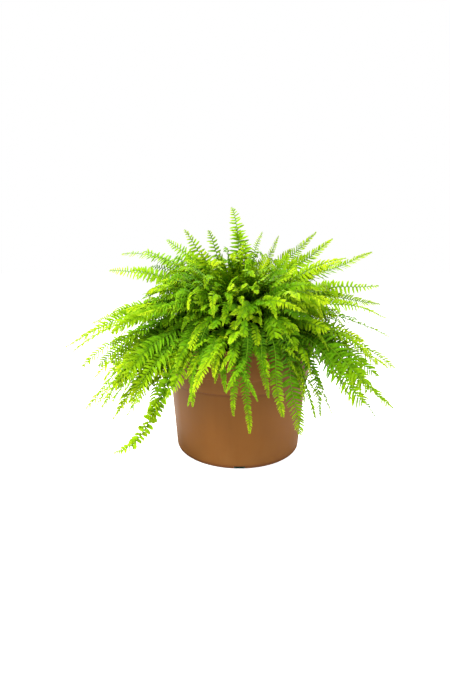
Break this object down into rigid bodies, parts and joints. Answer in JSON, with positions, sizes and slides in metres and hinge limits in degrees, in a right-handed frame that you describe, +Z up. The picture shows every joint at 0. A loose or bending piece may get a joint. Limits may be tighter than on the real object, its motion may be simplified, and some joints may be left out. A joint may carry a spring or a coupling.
{
  "type": "potted boston fern",
  "caption": "Boston fern with arching, feathery fronds growing from a woody crown in soil, in a tapered brown plastic nursery pot with a wide rim band.",
  "frame": {"origin": "on the pot's axis, at the middle of the flat pad under the pot, which is level with its foot ring and with the surface that it stands on", "axes": "+Z up along the pot's axis, +X to the viewer's right, +Y away from the viewer"},
  "size_m": [0.5612, 0.4071, 0.418],
  "materials": {
    "pot_plastic": "satin",
    "plug_plastic": "satin",
    "soil": "matte",
    "crown": "matte",
    "frond": "satin",
    "young_frond": "satin"
  },
  "bodies": {
    "root": {"crown": "crown", "drain_plug": "plug_plastic", "frond_front_centre_curved": "frond", "frond_front_centre_tip": "frond", "frond_front_dark": "frond", "frond_front_left_pale": "frond", "frond_front_left_short": "frond", "frond_front_left_trailing": "frond", "frond_front_left_under": "frond", "frond_front_right_broad": "frond", "frond_front_right_pale": "frond", "frond_left_far": "frond", "frond_left_high_a": "frond", "frond_left_high_b": "frond", "frond_left_low_a": "frond", "frond_left_low_b": "frond", "frond_left_low_c": "frond", "frond_left_mid_a": "frond", "frond_left_mid_b": "frond", "frond_left_mid_c": "frond", "frond_right_hanging": "frond", "frond_right_high_a": "frond", "frond_right_high_b": "frond", "frond_right_low_a": "frond", "frond_right_low_b": "frond", "frond_right_low_c": "frond", "frond_right_low_wide": "frond", "frond_right_mid_a": "frond", "frond_right_mid_b": "frond", "frond_right_mid_c": "frond", "frond_right_mid_d": "frond", "frond_top_left_a": "frond", "frond_top_left_b": "frond", "frond_top_left_c": "frond", "frond_top_left_d": "frond", "frond_top_left_e": "frond", "frond_top_right_a": "frond", "frond_top_right_b": "frond", "frond_top_right_c": "frond", "frond_top_small": "frond", "frond_top_tall": "frond", "pot": "pot_plastic", "soil": "soil", "tuft_back_1": "frond", "tuft_back_2": "frond", "tuft_back_3": "frond", "tuft_back_4": "frond", "tuft_back_5": "frond", "tuft_back_6": "frond", "tuft_back_7": "frond", "tuft_front_1": "young_frond", "tuft_front_10": "young_frond", "tuft_front_2": "young_frond", "tuft_front_3": "young_frond", "tuft_front_4": "young_frond", "tuft_front_5": "young_frond", "tuft_front_6": "young_frond", "tuft_front_7": "young_frond", "tuft_front_8": "young_frond", "tuft_front_9": "young_frond"}
  },
  "joints": []
}
